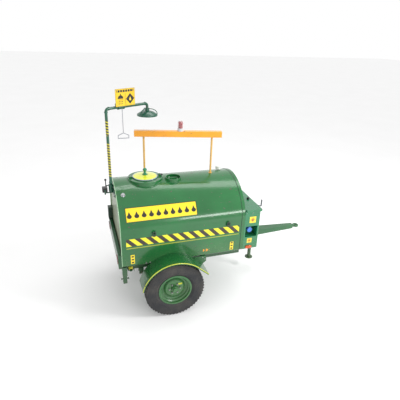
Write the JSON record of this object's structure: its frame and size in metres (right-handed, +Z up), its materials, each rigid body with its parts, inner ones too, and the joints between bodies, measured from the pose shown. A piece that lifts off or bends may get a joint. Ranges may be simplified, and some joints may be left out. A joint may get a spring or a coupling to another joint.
{
  "type": "towable emergency safety shower",
  "caption": "Green water-tank trailer with a swivelling overhead drench shower, pull handle, amber light bar with beacon, manhole, front cabinet, drawbar and jack",
  "frame": {"origin": "on the ground plane, midway between the work lamp's back and the tow eye's tip, on the centre plane", "axes": "+X forward to the tow eye, +Y to the left side, +Z up"},
  "size_m": [2.992, 1.604, 2.772],
  "materials": {
    "tank_enamel": "gloss green enamel on rolled steel plate, with orange peel, dust and weld heat marks",
    "cabinet_enamel": "gloss blue-green enamel on folded steel",
    "chassis_enamel": "dark green chassis paint, a little chipped",
    "mast_enamel": "dark teal-green coating on water pipe, with barrier tape bands",
    "wheel_enamel": "green wheel paint, dusty in the dish",
    "lid_yellow": "gloss yellow enamel",
    "knob_green": "moulded green grip",
    "bar_amber": "amber enamel on square tube",
    "post_amber": "amber enamel on round tube",
    "beacon_grey": "pale grey moulding",
    "beacon_clear": "clear dome",
    "beacon_red": "red lamp filter",
    "sign_yellow": "printed yellow sign plate",
    "rod_steel": "plain steel rod",
    "brass_valve": "painted brass valve",
    "tyre_rubber": "dark tyre rubber with ribs",
    "wheel_zinc": "zinc-plated nuts",
    "vent_white": "white moulded vent",
    "inlet_blue": "blue moulded inlet",
    "lamp_orange": "orange lamp lens",
    "lamp_red": "red lamp lens",
    "black_metal": "satin black paint",
    "black_plastic": "black moulding",
    "seal_rubber": "black rubber",
    "spring_steel": "dark painted spring steel",
    "crank_steel": "grey steel",
    "pump_blue": "blue pump castings"
  },
  "bodies": {
    "trailer": {"chassis_frame": "chassis_enamel", "rear_bumper": "chassis_enamel", "leaf_springs": "spring_steel", "spring_clamps": "spring_steel", "axle": "chassis_enamel", "tank_wrap": "tank_enamel", "rear_plate": "tank_enamel", "front_plate": "tank_enamel", "manhole_neck": "tank_enamel", "manhole_gasket": "seal_rubber", "filler_neck": "tank_enamel", "vent": "vent_white", "light_bar_posts": "post_amber", "light_bar": "bar_amber", "beacon_base": "beacon_grey", "beacon_lens": "beacon_clear", "beacon_lamp": "beacon_red", "mast_bracket": "mast_enamel", "drawbar": "chassis_enamel", "tow_eye": "chassis_enamel", "jack_tube": "chassis_enamel", "fenders": "tank_enamel", "lashing_lugs": "chassis_enamel", "side_lamps": "lamp_orange", "tail_lamps": "lamp_red", "cabinet_body": "cabinet_enamel", "power_inlet": "inlet_blue", "pump_set": "pump_blue", "control_box": "chassis_enamel", "pipework": "crank_steel", "drain_valve": "chassis_enamel"},
    "wheel_left": {"tyre_left": "tyre_rubber", "rim_left": "wheel_enamel", "hub_left": "wheel_enamel", "wheel_nuts_left": "wheel_zinc"},
    "wheel_right": {"tyre_right": "tyre_rubber", "rim_right": "wheel_enamel", "hub_right": "wheel_enamel", "wheel_nuts_right": "wheel_zinc"},
    "mast": {"mast_pipe": "mast_enamel", "shower_valve": "brass_valve", "shower_head": "mast_enamel", "spray_plate": "wheel_zinc", "sign_panel": "sign_yellow"},
    "valve_lever": {"valve_lever": "rod_steel"},
    "pull_rod": {"pull_rod": "rod_steel"},
    "lock_lever": {"lock_lever": "black_metal"},
    "work_lamp": {"work_lamp": "black_metal"},
    "manhole_lid": {"manhole_lid": "lid_yellow", "lid_knob": "knob_green"},
    "swing_bolt": {"swing_bolt": "black_metal"},
    "filler_cap": {"filler_cap": "tank_enamel"},
    "cabinet_lid": {"cabinet_lid": "cabinet_enamel"},
    "cabinet_latch": {"cabinet_latch": "black_plastic"},
    "inlet_flap": {"inlet_flap": "inlet_blue"},
    "jack_crank": {"jack_crank": "crank_steel"},
    "jack_leg": {"jack_leg": "chassis_enamel"},
    "rear_leg_left": {"rear_leg_left": "chassis_enamel"},
    "rear_leg_right": {"rear_leg_right": "chassis_enamel"},
    "drain_lever": {"drain_lever": "wheel_zinc"}
  },
  "joints": [
    {"name": "wheel_left_spin", "type": "hinge", "parent": "trailer", "child": "wheel_left", "pos_m": [-0.73, 0.678, 0.39], "axis": [0, 1, 0], "continuous": true},
    {"name": "wheel_right_spin", "type": "hinge", "parent": "trailer", "child": "wheel_right", "pos_m": [-0.73, -0.678, 0.39], "axis": [0, 1, 0], "continuous": true},
    {"name": "mast_swivel", "type": "hinge", "parent": "trailer", "child": "mast", "pos_m": [-1.387, -0.05, 1.58], "axis": [0, 0, 1], "range_deg": [0, 150]},
    {"name": "valve_turn", "type": "hinge", "parent": "mast", "child": "valve_lever", "pos_m": [-1.206, 0.0545, 2.56], "axis": [-0.5, 0.866, 0], "range_deg": [0, 60]},
    {"name": "rod_hang", "type": "hinge", "parent": "valve_lever", "child": "pull_rod", "pos_m": [-1.1575, 0.0825, 2.56], "axis": [-0.5, 0.866, 0], "range_deg": [-60, 0]},
    {"name": "lock_turn", "type": "hinge", "parent": "trailer", "child": "lock_lever", "pos_m": [-1.427, -0.05, 1.622], "axis": [1, 0, 0], "range_deg": [0, 90]},
    {"name": "lamp_tilt", "type": "hinge", "parent": "trailer", "child": "work_lamp", "pos_m": [-1.465, -0.05, 1.572], "axis": [0, 1, 0], "range_deg": [-35, 15]},
    {"name": "lid_hinge", "type": "hinge", "parent": "trailer", "child": "manhole_lid", "pos_m": [-1.143, 0, 1.694], "axis": [0, -1, 0], "range_deg": [0, 108]},
    {"name": "bolt_swing", "type": "hinge", "parent": "trailer", "child": "swing_bolt", "pos_m": [-0.755, 0, 1.694], "axis": [0, -1, 0], "range_deg": [0, 90]},
    {"name": "filler_cap_turn", "type": "hinge", "parent": "trailer", "child": "filler_cap", "pos_m": [-0.599, -0.091, 1.64977], "axis": [0, 0, 1], "range_deg": [0, 90]},
    {"name": "cabinet_lid_hinge", "type": "hinge", "parent": "trailer", "child": "cabinet_lid", "pos_m": [0.27, 0, 1.298], "axis": [0, -1, 0], "range_deg": [0, 88]},
    {"name": "latch_turn", "type": "hinge", "parent": "cabinet_lid", "child": "cabinet_latch", "pos_m": [0.45, -0.21, 1.298], "axis": [0, 0, 1], "range_deg": [0, 90]},
    {"name": "flap_hinge", "type": "hinge", "parent": "trailer", "child": "inlet_flap", "pos_m": [0.373, -0.492, 1.02], "axis": [1, 0, 0], "range_deg": [-95, 0], "stiffness_Nm_per_rad": 0.03},
    {"name": "jack_turn", "type": "hinge", "parent": "trailer", "child": "jack_crank", "pos_m": [0.671, 0, 1.085], "axis": [0, 0, 1], "range_deg": [0, 10200]},
    {"name": "jack_slide", "type": "slide", "parent": "trailer", "child": "jack_leg", "axis": [0, 0, -1], "range_m": [0, 0.17]},
    {"name": "rear_leg_left_slide", "type": "slide", "parent": "trailer", "child": "rear_leg_left", "axis": [0, 0, -1], "range_m": [0, 0.06]},
    {"name": "rear_leg_right_slide", "type": "slide", "parent": "trailer", "child": "rear_leg_right", "axis": [0, 0, -1], "range_m": [0, 0.06]},
    {"name": "drain_turn", "type": "hinge", "parent": "trailer", "child": "drain_lever", "pos_m": [-1.219, -0.489, 0.664], "axis": [1, 0, 0], "range_deg": [0, 90]}
  ],
  "couplings": [
    {"joint": "rod_hang", "follows": "valve_turn", "ratio": -1},
    {"joint": "jack_slide", "follows": "jack_turn", "m_per_rad": 0.00095493}
  ]
}
